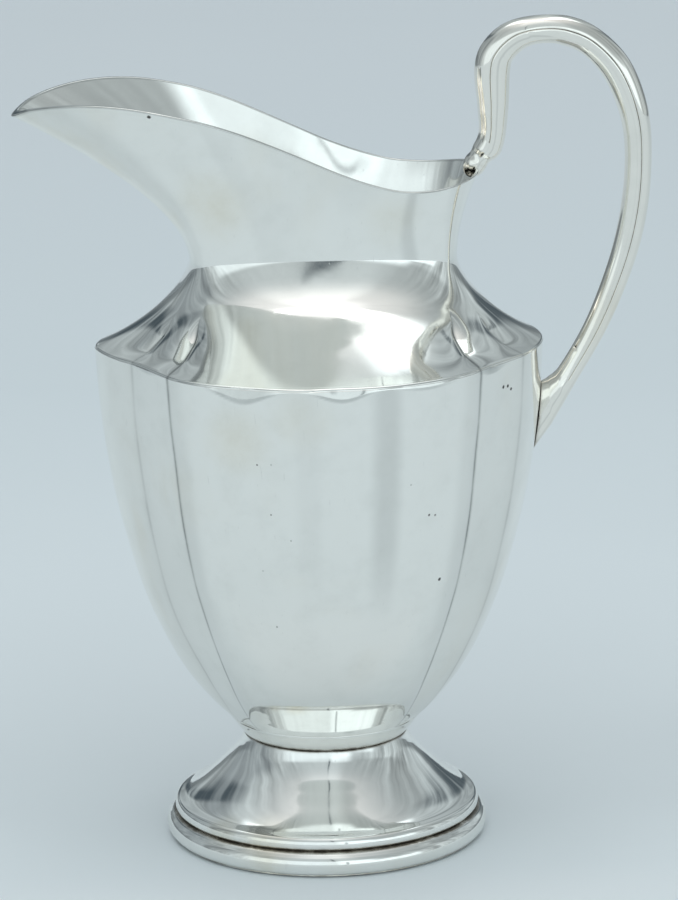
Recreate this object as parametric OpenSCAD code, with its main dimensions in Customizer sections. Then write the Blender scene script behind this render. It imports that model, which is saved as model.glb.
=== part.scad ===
// Helmet-lipped pitcher on a round pedestal foot, raised in silver sheet.
// Frame: millimetres, +Z up, origin on the table under the middle of the foot.
// The lip points along -X, the handle stands along +X.

/* [Body] */
// Radius of the body at the shoulder edge, over the side panels
body_r = 68; // [66:0.5:70]
// Height of the shoulder edge above the table
shoulder_z = 155; // [152:0.5:158]
// Thickness of the silver sheet
wall = 1; // [0.8:0.1:1.2]
// How far the front and back panels sit inside the side panels, as a share of the radius
front_flat = 0.035; // [0:0.005:0.05]
// Depth of the sharp creases beside the front panel, as a share of the radius
crease_deep = 0.069; // [0.055:0.001:0.075]
// Depth of the soft creases beside the panel under the lip, as a share of the radius
soft_lip = 0.090; // [0.07:0.005:0.095]
// Depth of the soft creases beside the panel under the handle, as a share of the radius
soft_handle = 0.032; // [0.02:0.002:0.04]
// Angle from the front to the sharp crease
crease_deep_at = 46.5; // [45:0.5:48]
// Angle from the front to the soft crease
crease_soft_at = 66.5; // [65:0.5:68]
// Depth of the valleys that carry the sharp creases up the shoulder
valley_deep = 3.2; // [2:0.1:3.5]
// Depth of the valleys that carry the soft creases up the shoulder
valley_soft = 2; // [1:0.1:2.2]

/* [Neck and lip] */
// Height of the waist of the neck
waist_z = 181.5; // [179:0.5:184]
// Half length of the oval waist, along the lip
waist_x = 40.4; // [38:0.2:42]
// Half width of the oval waist, across the lip
waist_y = 22; // [21.5:0.5:23.5]
// Half width of the mouth over the neck
mouth_y = 26.6; // [25:0.2:28]
// How far the tip of the lip stands out from the axis
lip_x = 90.9; // [88:0.1:92]
// How far the back of the mouth stands out from the axis
back_x = 48.6; // [48:0.1:49]

/* [Foot] */
// Outer radius of the base ring
ring_r = 49.5; // [49:0.1:50]
// Height of the base ring
ring_h = 7.5; // [7:0.1:8]
// Height of the joint between the foot and the body
joint_z = 32.3; // [31.8:0.1:32.6]
// Outer radius of the joint between the foot and the body
joint_r = 25; // [24.5:0.1:25.2]

/* [Handle] */
// Greatest width of the handle across the jug
handle_w = 9.6; // [8:0.2:10]
// Thickness of the handle shells
handle_wall = 1.1; // [0.9:0.1:1.4]
// Where the seam between the two shells runs: the angle round a rib from its outer side
seam_at = 80; // [70:1:90]

/* [Hidden] */
$fn = 96;

// ---- curves through stations -------------------------------------------------
function seg(st, x, i = 0) = (i >= len(st) - 2 || x < st[i + 1][0]) ? i : seg(st, x, i + 1);
function slope_at(st, i, c = 1) =
    let (a = max(0, i - 1), b = min(len(st) - 1, i + 1))
    (st[b][c] - st[a][c]) / (st[b][0] - st[a][0]);
// smooth curve through stations [x, y]
function spl(st, x, c = 1) =
    let (i = seg(st, x), h = st[i + 1][0] - st[i][0],
         t = min(1, max(0, (x - st[i][0]) / h)))
    (2*t*t*t - 3*t*t + 1) * st[i][c] + (t*t*t - 2*t*t + t) * h * slope_at(st, i, c)
    + (3*t*t - 2*t*t*t) * st[i + 1][c] + (t*t*t - t*t) * h * slope_at(st, i + 1, c);
function bez(a, b, c, d, t) =
    (1-t)*(1-t)*(1-t)*a + 3*t*(1-t)*(1-t)*b + 3*t*t*(1-t)*c + t*t*t*d;
function unit(v) = v / norm(v);

// ---- the panelled section ----------------------------------------------------
// Angles around the jug: a quarter runs over a side panel, a narrow panel and
// half of a front panel, and the other quarters mirror it.
n_side = 6; n_narrow = 4; n_front = 10;
deep_a = 90 - crease_deep_at;
soft_a = 90 - crease_soft_at;
quarter = concat(
    [for (i = [0:n_side-1]) soft_a * (1 - pow(1 - i/n_side, 1.15))],
    [for (i = [0:n_narrow-1]) soft_a + (deep_a - soft_a) * i/n_narrow],
    [for (i = [0:n_front-1]) deep_a + (90 - deep_a) * pow(i/n_front, 1.4)]);
nq = len(quarter);
around = concat(
    quarter,
    [90], [for (i = [nq-1:-1:1]) 180 - quarter[i]],
    [for (a = quarter) 180 + a],
    [270], [for (i = [nq-1:-1:1]) 360 - quarter[i]]);

// dip of the section below its round outline, by the angle from the front;
// kd and ks scale the sharp and the soft creases
function from_front(a) = atan2(abs(cos(a)), abs(sin(a)));
function crease_pt(depth, at) = (1 - depth) * [sin(at), cos(at)];
lobe_e = 0.15;
function lobe(s) = (sqrt(s*s + lobe_e*lobe_e) - lobe_e) / (sqrt(1 + lobe_e*lobe_e) - lobe_e);
function dip(a, kd, ks) =
    let (th = from_front(a), deep = crease_deep * kd, soft = (cos(a) < 0 ? soft_lip : soft_handle) * ks,
         pc = crease_pt(deep, crease_deep_at), pb = crease_pt(soft, crease_soft_at),
         pn = [-(pb - pc)[1], (pb - pc)[0]])
    th <= crease_deep_at ? deep * pow(th / crease_deep_at, 4.5)
    : th >= crease_soft_at ? soft * lobe((90 - th) / (90 - crease_soft_at))
    : 1 - (pn * pc) / (pn * [sin(th), cos(th)]);

// ---- bowl --------------------------------------------------------------------
bowl_z = 37.5;
// height and radius of the bowl, from its seat to the shoulder
bowl_st = [[bowl_z, 29.2], [43, 35.2], [52, 42.4], [64, 49], [78, 54.8], [94, 59.5],
           [112, 63.6], [134, body_r - 1.3], [shoulder_z, body_r]];
// strength of the sharp and of the soft creases up the bowl
deep_top = 0.64;
soft_top = 0.94;
deep_st = [[bowl_z, 0.2], [45, 0.85], [54, 1.2], [62, 1.2], [70, 1.12], [80, 0.96], [90, 0.80],
           [110, 0.79], [128, 0.84], [142, 0.72], [shoulder_z, deep_top]];
soft_st = [[bowl_z, 0.2], [45, 0.85], [54, 1.08], [62, 0.98], [70, 0.84], [80, 0.76], [92, 0.79],
           [120, 0.90], [140, 0.91], [shoulder_z, soft_top]];
function flat_at(z) = front_flat * min(1, max(0, (z - bowl_z) / 40));
function section(r, z, a, kd, ks) =
    r * (1 - flat_at(z) * sin(a) * sin(a)) * (1 - dip(a, kd, ks));
function bowl_r(z) = spl(bowl_st, z);
function bowl_slope(z) = (bowl_r(z + 0.2) - bowl_r(z - 0.2)) / 0.4;
function bowl_ring(z, inset) =
    [for (a = around)
        let (r = section(bowl_r(z), z, a, spl(deep_st, z), spl(soft_st, z)) - inset)
        [r * cos(a), r * sin(a), z]];
n_bowl = 16;
bowl_zs = [for (k = [0:n_bowl]) bowl_z + (shoulder_z - bowl_z) * pow(k/n_bowl, 1.15)];
function bowl_inset(z) = wall * sqrt(1 + pow(bowl_slope(max(bowl_z + 0.3, min(shoulder_z - 0.3, z))), 2));

// closed shell between an outer and an inner stack of rings
module shell(outer, inner) {
    n = len(outer); m = len(outer[0]); o = n * m;
    points = concat([for (r = outer) each r], [for (r = inner) each r]);
    faces = concat(
        [for (i = [0:n-2], j = [0:m-1]) let (k = (j + 1) % m)
            each [[i*m + j, (i+1)*m + j, (i+1)*m + k], [i*m + j, (i+1)*m + k, i*m + k]]],
        [for (i = [0:n-2], j = [0:m-1]) let (k = (j + 1) % m)
            each [[o + i*m + j, o + (i+1)*m + k, o + (i+1)*m + j], [o + i*m + j, o + i*m + k, o + (i+1)*m + k]]],
        [for (j = [0:m-1]) let (k = (j + 1) % m)
            each [[j, k, o + k], [j, o + k, o + j]]],
        [for (j = [0:m-1]) let (k = (j + 1) % m, t = (n-1)*m)
            each [[t + j, o + t + k, t + k], [t + j, o + t + j, o + t + k]]]);
    polyhedron(points, faces, convexity = 8);
}

module bowl() color([0.80, 0.81, 0.80])
    shell([for (z = bowl_zs) bowl_ring(z, 0)], [for (z = bowl_zs) bowl_ring(z, bowl_inset(z))]);

// ---- bottom of the bowl: a dished disc with a turned-in collar -----------------
module bowl_bottom() color([0.76, 0.77, 0.77])
    rotate_extrude() polygon([
        [0, 34.4], [20, 34.4], [22.4, 33.6], [23.4, joint_z], [joint_r + 0.2, joint_z],
        [26.8, 34], [28.4, 36], [29.2, bowl_z], [27.2, bowl_z], [25.4, 36.3], [20, 35.7], [0, 35.5]]);

// ---- shoulder: a cavetto that runs from the panelled edge to the oval waist ----
axis_x = 1.6;
// the waist is fuller than an ellipse and stands higher at the front and the back
waist_full = 3.2;
waist_lift = 2.5;
function full(v) = sign(v) * pow(abs(v), 2 / waist_full);
function waist_pt(a, inset = 0) =
    [axis_x + (waist_x - inset) * full(cos(a)), (waist_y - inset) * full(sin(a)),
     waist_z + waist_lift * sin(a) * sin(a)];
n_sh = 12;
// how far in and how far up the shoulder has come at t: a round hollow at the ends,
// a long slope at the front and back
function sh_u(t) = sin(90 * t);
function hollow(t) = 0.41 * sin(90 * t) + 0.59 * (1 - cos(90 * t));
function hollow_d(t) = 0.41 * cos(90 * t) + 0.59 * sin(90 * t);
function slope(u) = 0.50 * u + 0.28 * u * u + 0.22 * pow(u, 11);
function slope_d(u) = 0.50 + 0.56 * u + 2.42 * pow(u, 10);
function sh_w(a, t) = let (k = sin(a) * sin(a)) (1 - k) * hollow(t) + k * slope(sh_u(t));
function sh_wd(a, t) = let (k = sin(a) * sin(a)) (1 - k) * hollow_d(t) + k * slope_d(sh_u(t)) * cos(90 * t);
// valleys that carry the creases up the shoulder and fade out below the waist
function ease(x, a, b) = let (k = min(1, max(0, (x - a) / (b - a)))) k * k * (3 - 2 * k);
function cusp(d, front, side) = exp(-(sqrt(d*d + 0.12) - 0.346) / (d < 0 ? front : side));
function valley(a, u) =
    let (th = from_front(a))
    max(valley_deep * cusp(th - crease_deep_at, 6, 3.2), valley_soft * cusp(th - crease_soft_at, 3, 6))
    * ease(u, 0, 0.22) * (1 - ease(u, 0.40, 0.74));
function sh_edge(a, t) = let (k = pow(1 - t, 1.15))
    section(body_r, shoulder_z, a, deep_top * k * (1 + 1.1 * t), soft_top * k);
function sh_pt(a, t) =
    let (w = waist_pt(a), u = sh_u(t), r = sh_edge(a, t) * (1 - u) - valley(a, u))
    [r * cos(a) + u * w[0], r * sin(a) + u * w[1], shoulder_z + (w[2] - shoulder_z) * sh_w(a, t)];
function sh_in(a, t) =
    let (p = sh_pt(a, t), r = sh_edge(a, 0), w = waist_pt(a),
         run = [w[0] - r * cos(a), w[1] - r * sin(a)], d = unit(run),
         ds = cos(90 * t) * norm(run),
         dz = sh_wd(a, t) * (w[2] - shoulder_z),
         q = norm([ds, dz]), k = t == 0 ? wall * q / dz : wall * dz / q,
         z = t == 0 ? 0 : -wall * ds / q)
    t == 1 ? waist_pt(a, wall)
    : [p[0] + k * d[0], p[1] + k * d[1], max(shoulder_z + 0.05 * t, p[2] + z)];
module shoulder() color([0.74, 0.76, 0.77])
    shell([for (k = [0:n_sh]) [for (a = around) sh_pt(a, k/n_sh)]],
          [for (k = [0:n_sh]) [for (a = around) sh_in(a, k/n_sh)]]);

// ---- neck and helmet lip -----------------------------------------------------
// height of the rim along the mouth, from the tip of the lip to the handle
rim_st = [[-lip_x, 226.5], [-85, 229.7], [-75, 232], [-65, 232.7], [-55, 232.2], [-45, 230.5],
          [-35, 228.1], [-25, 224.7], [-15, 220.5], [-5, 216], [5, 211.5], [15, 207.8],
          [24, 205.5], [33, 205], [40, 205.7], [back_x, 207.6]];
// half width of the mouth before its ends are rounded off, as a share of mouth_y
width_st = [[-lip_x, 1.07], [-80, 1.15], [-65, 1.23], [-50, 1.25], [-38, 1.21], [-26, 1.12],
            [-14, 1.03], [0, 0.985], [14, 1], [28, 1], [40, 0.96], [back_x, 0.92]];
rim_mid = 12.8;
function rim_w(x, w, tip, back) =
    let (f = max(0, (rim_mid - x) / (rim_mid + tip)), b = max(0, (x - rim_mid) / (back - rim_mid)))
    w * spl(width_st, x)
    * (x < rim_mid ? sqrt(max(0, 1 - f*f*f)) : pow(max(0, 1 - b*b*b), 1/3));
function rim_pt(a, w, tip, back) =
    let (c = cos(a), m = 3.2, x = m + (back + tip)/2 * c - (m - (back - tip)/2) * c * c,
         xx = max(-tip, min(back, x)))
    [xx, (sin(a) < -0.0001 ? -1 : sin(a) > 0.0001 ? 1 : 0) * rim_w(xx, w, tip, back), spl(rim_st, xx)];
n_neck = 12;
function neck_pt(a, t, inset) =
    let (p = waist_pt(a, inset * wall),
         q = rim_pt(a, mouth_y - 1.15 * inset * wall, lip_x - 2.4 * inset * wall, back_x - 1.1 * inset * wall),
         d = q - p)
    bez(p, p + [0.015*d[0], 0.015*d[1], 0.27*d[2]], p + [0.34*d[0], 0.45*d[1], 0.60*d[2]], q, t);
module neck() color([0.82, 0.82, 0.80])
    shell([for (k = [0:n_neck]) [for (a = around) neck_pt(a, k/n_neck, 0)]],
          [for (k = [0:n_neck]) [for (a = around) neck_pt(a, k/n_neck, 1)]]);

// ---- foot: a spun flare with a stepped edge, and the base ring under it ---------
tier_r = ring_r - 2.5;
// the flare: how far below the joint and how far out, as shares of its drop and of its spread
flare_st = [[0, 0], [0.106, 0.039], [0.222, 0.099], [0.367, 0.212], [0.531, 0.374], [0.676, 0.532], [0.812, 0.690], [0.908, 0.818], [0.966, 0.911], [1, 1]];
flare_h = joint_z - ring_h - 4.1;
function flare_r(t) = joint_r + (tier_r - 1.7 - joint_r) * spl(flare_st, t);
flare_t = [for (k = [1:12]) 1 - pow(1 - k/12, 1.3)];
module foot() color([0.75, 0.77, 0.78])
    rotate_extrude() polygon(concat(
        [[joint_r - 1.2, joint_z], [joint_r, joint_z]],
        [for (t = flare_t) [flare_r(t), joint_z - flare_h * t]],
        [[tier_r - 0.8, ring_h + 3.6], [tier_r - 0.2, ring_h + 2.5], [tier_r, ring_h],
         [tier_r - 1.6, ring_h], [tier_r - 1.7, ring_h + 2], [tier_r - 2.4, ring_h + 3]],
        [for (k = [10:-1:0]) let (t = flare_t[k]) [flare_r(t) - 1.1, joint_z - flare_h * t - 0.9 * t]]));

module foot_ring() color([0.78, 0.79, 0.79])
    rotate_extrude() polygon(concat(
        [[tier_r - 2, 0], [ring_r - 1.6, 0]],
        [for (a = [-70:10:60]) [ring_r - 2.4 + 2.4 * cos(a), ring_h/2 - 0.4 + 3.3 * sin(a)]],
        [[ring_r - 1.9, ring_h - 0.5], [tier_r, ring_h], [tier_r - 2, ring_h]]));

// ---- handle ------------------------------------------------------------------
// ribs of the handle from the rim over the top to the body:
// [rib, outer x, outer z, inner x, inner z]
rib_st = [
    [0, 45.2, 212.0, 50.8, 207.2], [1, 48.8, 217.2, 56.0, 212.5], [2, 48.6, 226.0, 57.9, 223.9],
    [3, 47.8, 237.0, 58.6, 236.5], [4, 50.1, 244.4, 60.0, 240.3], [5, 56.8, 250.5, 63.9, 243.4],
    [6, 66.6, 252.8, 68.4, 244.3], [7, 77.2, 252.1, 73.7, 243.8], [8, 86.4, 247.4, 80.6, 240.6],
    [9, 95.0, 237.7, 87.3, 232.5], [10, 100.2, 222.7, 92.0, 219.7], [11, 101.0, 206.0, 92.9, 206.0],
    [12, 99.2, 189.5, 91.2, 190.9], [13, 94.8, 173.7, 87.5, 176.1], [14, 87.2, 155.9, 80.8, 158.7],
    [15, 77.1, 138.4, 73.0, 145.1], [16, 70.5, 127.0, 69.2, 141.5]];
function rib(s) = [for (c = [1:4]) spl(rib_st, s, c)];
function rib_wy(s) = let (r = rib(s))
    min(handle_w, 0.3 + norm([r[0] - r[2], r[1] - r[3]])) / 2 * (s > 12 ? 1 - 0.035 * (s - 12) : 1);
// point on a rib: angle 0 is the outer side, 90 the near side; inset is the wall
function rib_pt(s, a, inset, side) =
    let (r = rib(s), c = [r[0] + r[2], r[1] + r[3]] / 2, h = [r[0] - r[2], r[1] - r[3]] / 2,
         k = 1 - inset / norm(h))
    [c[0] + h[0] * k * cos(a), side * (rib_wy(s) - inset) * sin(a), c[1] + h[1] * k * cos(a)];
half_from = 1;
half_to = 15;
n_rib = 56;
n_arc = 8;
// a shell over the part of the ribs between two angles
module half_handle(a0, a1) {
    m = 2 * (n_arc + 1);
    s_at = [for (k = [0:n_rib]) half_from + (half_to - half_from) * k / n_rib];
    points = [for (s = s_at) each concat(
        [for (i = [0:n_arc]) rib_pt(s, a0 + (a1 - a0) * i / n_arc, 0, 1)],
        [for (i = [n_arc:-1:0]) rib_pt(s, a0 + (a1 - a0) * i / n_arc, handle_wall, 1)])];
    e = n_rib * m;
    faces = concat(
        [for (k = [0:n_rib-1], j = [0:m-1]) let (l = (j + 1) % m)
            each (j == m - 1
                ? [[k*m + j, k*m + l, (k+1)*m + j], [k*m + l, (k+1)*m + l, (k+1)*m + j]]
                : [[k*m + j, (k+1)*m + l, (k+1)*m + j], [k*m + j, k*m + l, (k+1)*m + l]])],
        [for (i = [0:n_arc-1])
            each [[i, m-1-i, m-2-i], [i, m-2-i, i+1]]],
        [for (i = [0:n_arc-1])
            each [[e+i, e+m-2-i, e+m-1-i], [e+i, e+i+1, e+m-2-i]]]);
    polyhedron(points, faces, convexity = 8);
}
module handle_outer_half() color([0.81, 0.80, 0.77]) half_handle(-seam_at, seam_at);
module handle_inner_half() color([0.79, 0.78, 0.75]) half_handle(seam_at, 360 - seam_at);

// closed solid through a stack of rings with the same count of points
module stack(rings) {
    n = len(rings); m = len(rings[0]);
    polyhedron([for (r = rings) each r], concat(
        [for (i = [0:n-2], j = [0:m-1]) let (k = (j + 1) % m)
            each [[i*m + j, (i+1)*m + k, (i+1)*m + j], [i*m + j, i*m + k, (i+1)*m + k]]],
        [for (j = [1:m/2-1]) each (j == m/2 - 1
            ? [[j, m - j, m/2]]
            : [[j, m - j - 1, j + 1], [j, m - j, m - j - 1]])],
        [[0, m - 1, 1]],
        [for (j = [1:m/2-1]) let (e = (n-1)*m) each (j == m/2 - 1
            ? [[e + j, e + m/2, e + m - j]]
            : [[e + j, e + j + 1, e + m - j - 1], [e + j, e + m - j - 1, e + m - j]])],
        [[(n-1)*m, (n-1)*m + 1, (n-1)*m + m - 1]]), convexity = 4);
}
n_full = 20;
function full_rib(s) = [for (i = [0:n_full-1]) rib_pt(s, 360 * i / n_full, 0, 1)];

// the knuckle that sits over the back of the rim
knob = [47.9, 208.4];
function knob_ring(t) =
    let (r = 3.5 * cos(85 * t), d = [-0.5, -0.866], q = [0.866, -0.5],
         c = knob + d * 4.6 * sin(85 * t))
    [for (i = [0:n_full-1]) let (a = 360 * i / n_full)
        [c[0] - q[0] * r * cos(a), r * sin(a), c[1] - q[1] * r * cos(a)]];
function between(p, q, t) = [for (i = [0:len(p)-1]) (1-t) * p[i] + t * q[i]];
module handle_knuckle() color([0.70, 0.68, 0.62])
    difference() {
        stack(concat([for (t = [1:-0.2:0]) knob_ring(t)],
                     [for (t = [0.25, 0.5, 0.75]) between(knob_ring(0), full_rib(half_from), t * t * (3 - 2 * t))],
                     [full_rib(half_from)]));
        // slot for the rim of the neck
        translate([back_x - 0.45, 0, 207.6]) rotate([0, 24, 0])
            translate([-0.95, -12, -12]) cube([1.9, 24, 12.35]);
    }

// the tail: the handle spreads down the body and is soldered on
tail_top = 140.5;
tail_end = 119.5;
seat = [for (i = [0:n_full-1]) let (a = 360 * i / n_full,
            z = (tail_top + tail_end) / 2 - (tail_top - tail_end) / 2 * cos(a))
        [bowl_r(z) + 0.25, 3.4 * sin(a), z]];
module handle_tail() color([0.77, 0.76, 0.72])
    stack(concat([full_rib(half_to)], [for (s = [15.25:0.25:16]) full_rib(s)],
                 [for (t = [0.35, 0.7]) between(full_rib(16), seat, t)], [seat]));

bowl();
bowl_bottom();
shoulder();
neck();
foot();
foot_ring();
handle_outer_half();
handle_inner_half();
handle_knuckle();
handle_tail();
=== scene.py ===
import math

import bpy
import numpy as np
from mathutils import Matrix, Vector


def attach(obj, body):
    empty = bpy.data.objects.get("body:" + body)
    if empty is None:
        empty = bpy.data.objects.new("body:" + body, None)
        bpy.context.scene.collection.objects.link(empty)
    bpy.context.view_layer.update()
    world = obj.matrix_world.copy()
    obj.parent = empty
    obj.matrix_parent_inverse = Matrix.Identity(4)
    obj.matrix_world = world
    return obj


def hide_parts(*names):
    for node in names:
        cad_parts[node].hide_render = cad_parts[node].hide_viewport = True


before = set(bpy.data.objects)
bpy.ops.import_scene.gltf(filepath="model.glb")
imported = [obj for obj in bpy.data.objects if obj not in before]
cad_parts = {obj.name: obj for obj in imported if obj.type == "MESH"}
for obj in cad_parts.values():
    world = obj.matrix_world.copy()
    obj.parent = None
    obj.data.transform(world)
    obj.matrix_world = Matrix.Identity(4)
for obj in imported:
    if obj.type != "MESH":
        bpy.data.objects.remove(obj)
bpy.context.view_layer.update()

MM = 0.001

# ------------------------------------------------------------------ curves
def spl(st, x):
    """Smooth curve through stations (x, y), held flat past its ends."""
    st = np.array(st, float)
    X, Y = st[:, 0], st[:, 1]
    n = len(X)
    m = np.zeros(n)
    m[1:-1] = (Y[2:] - Y[:-2]) / (X[2:] - X[:-2])
    m[0] = (Y[1] - Y[0]) / (X[1] - X[0])
    m[-1] = (Y[-1] - Y[-2]) / (X[-1] - X[-2])
    x = np.clip(np.asarray(x, float), X[0], X[-1])
    i = np.clip(np.searchsorted(X, x, side="right") - 1, 0, n - 2)
    h = X[i + 1] - X[i]
    t = (x - X[i]) / h
    return ((2*t**3 - 3*t**2 + 1) * Y[i] + (t**3 - 2*t*t + t) * h * m[i]
            + (-2*t**3 + 3*t*t) * Y[i + 1] + (t**3 - t*t) * h * m[i + 1])


def bez(a, b, c, d, t):
    return (1-t)**3 * a + 3*t*(1-t)**2 * b + 3*t*t*(1-t) * c + t**3 * d


def bez_d(a, b, c, d, t):
    return 3*(1-t)**2 * (b-a) + 6*t*(1-t) * (c-b) + 3*t*t * (d-c)


# ------------------------------------------------------------------ meshes
def new_piece(name, verts, faces, attrs=None, sharp=35.0):
    """A mesh piece from points in millimetres, with soil and painted shade given per point."""
    me = bpy.data.meshes.new(name)
    me.from_pydata([tuple(v) for v in np.asarray(verts, float) * MM], [], [tuple(f) for f in faces])
    me.validate()
    me.update()
    for k, values in (attrs or {}).items():
        a = me.attributes.new(k, "FLOAT", "POINT")
        a.data.foreach_set("value", np.asarray(values, np.float32))
    me.polygons.foreach_set("use_smooth", [True] * len(me.polygons))
    if sharp:
        me.set_sharp_from_angle(angle=math.radians(sharp))
    ob = bpy.data.objects.new(name, me)
    bpy.context.scene.collection.objects.link(ob)
    return ob


def ring_faces(n, m, wrap_n=True, start=0):
    """Quads over n rings of m points, closed round the ring and, with wrap_n, from the last ring to the first."""
    out = []
    for i in range(n if wrap_n else n - 1):
        a, b = start + i * m, start + ((i + 1) % n) * m
        for j in range(m):
            k = (j + 1) % m
            out.append((a + j, a + k, b + k, b + j))
    return out


def shell_piece(name, rings, soil_and_shade=None, sharp=35.0, extra=None):
    """A closed shell: rings go up the outside, over the edge and down the inside."""
    n, m = len(rings), len(rings[0])
    v = np.concatenate(rings)
    attrs = {"soil_and_shade": np.concatenate(soil_and_shade) if soil_and_shade is not None else np.zeros(len(v))}
    for k, s in (extra or {}).items():
        attrs[k] = s
    return new_piece(name, v, ring_faces(n, m), attrs, sharp)


def lathe_piece(name, profile, soil_and_shade, seg=288, sharp=35.0):
    """A closed ring turned from a profile of (radius, height), run anticlockwise: up the outside, down the inside."""
    a = np.linspace(0, 2*np.pi, seg, endpoint=False)
    rings = [np.c_[r*np.cos(a), r*np.sin(a), np.full(seg, z)] for r, z in profile]
    return shell_piece(name, rings, [np.full(seg, s) for s in soil_and_shade], sharp)


# ------------------------------------------------------------------ panelled section
DEEP_AT, SOFT_AT = 46.5, 66.5                # creases, in degrees from the front
DEEP, SOFT_LIP, SOFT_HANDLE, FRONT_FLAT = 0.069, 0.090, 0.032, 0.035
GRID = np.arange(0, 360, 0.05)
k_ = np.exp(-0.5 * (np.arange(-60, 61) * 0.05 / 0.45)**2)
k_ /= k_.sum()


def sharp_dip(deg, deep, soft_lip, soft_handle):
    """How far the section is pulled in at an angle, as a share of the radius."""
    a = np.radians(deg)
    th = np.degrees(np.arctan2(np.abs(np.cos(a)), np.abs(np.sin(a))))
    soft = np.where(np.cos(a) < 0, soft_lip, soft_handle)
    t = np.radians(th)
    pc = (1 - deep) * np.array([math.sin(math.radians(DEEP_AT)), math.cos(math.radians(DEEP_AT))])
    bx, by = (1 - soft) * math.sin(math.radians(SOFT_AT)), (1 - soft) * math.cos(math.radians(SOFT_AT))
    nx, ny = -(by - pc[1]), bx - pc[0]
    chord = (nx*pc[0] + ny*pc[1]) / (nx*np.sin(t) + ny*np.cos(t))
    s, e = (90 - th) / (90 - SOFT_AT), 0.15
    side = soft * (np.sqrt(s*s + e*e) - e) / (math.sqrt(1 + e*e) - e)
    return np.where(th <= DEEP_AT, deep * (th / DEEP_AT)**4.5, np.where(th >= SOFT_AT, side, 1 - chord))


def dips(kd, ks):
    """The dip round the section with its creases a little rounded; kd and ks scale the deep and the soft creases."""
    raw = sharp_dip(GRID, DEEP * kd, SOFT_LIP * ks, SOFT_HANDLE * ks)
    g = np.convolve(np.r_[raw[-60:], raw, raw[:60]], k_, "valid")
    return np.interp(np.mod(PHI, 360), np.r_[GRID, 360], np.r_[g, g[0]])


CREASES = [x for c in (90 - SOFT_AT, 90 - DEEP_AT) for x in (c, 180 - c, 180 + c, 360 - c)]
near = [c + d for c in CREASES for d in (-1.9, -1.35, -1.0, -0.7, -0.45, -0.22, 0, 0.22, 0.45, 0.7, 1.0, 1.35, 1.9)]
even = [a for a in np.arange(0, 360, 1.25) if min(abs((a - c + 180) % 360 - 180) for c in CREASES) > 2.3]
PHI = np.array(sorted(near + even))
COS, SIN = np.cos(np.radians(PHI)), np.sin(np.radians(PHI))
M = len(PHI)
# closeness to a crease, for the tarnish in it: thin in the deep ones, hardly any in the soft ones
off = np.array([np.abs((PHI - c + 180) % 360 - 180) for c in CREASES])
CREASE = np.max(np.exp(-0.5 * (off / 0.42)**2) * np.array([0.25]*4 + [1.0]*4)[:, None], axis=0)
TH = np.degrees(np.arctan2(np.abs(COS), np.abs(SIN)))        # angle from the front or the back
# the crease line itself, partly tarnish and partly painted shade, and painted shade on the skin beside it: on the front
# and back panels beside each deep crease and on both sides of each soft one
LINE_AND_SHADE = np.max(np.exp(-0.5 * (off / 0.43)**2) * np.array([0.30]*4 + [1.0]*4)[:, None], axis=0)
LINE_AND_SHADE = LINE_AND_SHADE + np.where(TH < DEEP_AT, 0.22 * np.exp(-(DEEP_AT - TH) / 3.6), 0.0) + 0.17 * np.exp(-np.abs(TH - SOFT_AT) / 3.0)

# ------------------------------------------------------------------ bowl
BODY_R, ZB, ZS, WALL = 68.0, 37.5, 155.0, 1.0
BOWL = [(ZB, 29.2), (43, 35.2), (52, 42.4), (64, 49), (78, 54.8), (94, 59.5), (112, 63.6), (134, 66.7), (ZS, BODY_R)]
DEEP_K = [(ZB, 0.2), (45, 0.85), (54, 1.2), (62, 1.2), (70, 1.12), (80, 0.96), (90, 0.80), (110, 0.79), (128, 0.84), (142, 0.72), (ZS, 0.64)]
SOFT_K = [(ZB, 0.2), (45, 0.85), (54, 1.08), (62, 0.98), (70, 0.84), (80, 0.76), (92, 0.79), (120, 0.90), (140, 0.91), (ZS, 0.94)]


def section(r, z, kd, ks):
    """Radius round the panelled section at height z."""
    flat = FRONT_FLAT * np.clip((z - ZB) / 40, 0, 1)
    return r * (1 - flat * SIN**2) * (1 - dips(kd, ks))


# the top of each panel rolls in over a short, uneven height before the edge
front = np.abs((PHI - 270 + 180) % 360 - 180)
back = np.abs((PHI - 90 + 180) % 360 - 180)
ROLL = 0.9 + sum(k * np.exp(-0.5 * ((PHI - c) / w)**2) for c, w, k in
                 ((248.0, 5.0, 4.2), (274.0, 4.6, 3.4), (297, 6, 1.4), (322, 4, 1.8), (212, 4, 0.8), (72, 5, 2.6), (104, 6, 2.2), (40, 4, 1.2), (140, 4, 1.2)))


def bowl_ring(z, inset=0.0, at=None, roll=True):
    r = section(spl(BOWL, z), z, spl(DEEP_K, z), spl(SOFT_K, z)) - inset
    if roll:
        d = np.clip((z - (ZS - ROLL)) / ROLL, 0, 1)
        r = r - 0.20 * ROLL * d**1.6
    return np.c_[r*COS, r*SIN, np.full(M, z if at is None else at)]


def ease(n, a, b, lo=1.0, hi=1.0):
    """n + 1 steps from a to b, crowded towards the ends."""
    t = np.linspace(0, 1, n + 1)
    t = t - 0.12 * np.sin(2*np.pi*t) * 0.9
    return a + (b - a) * t


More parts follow.
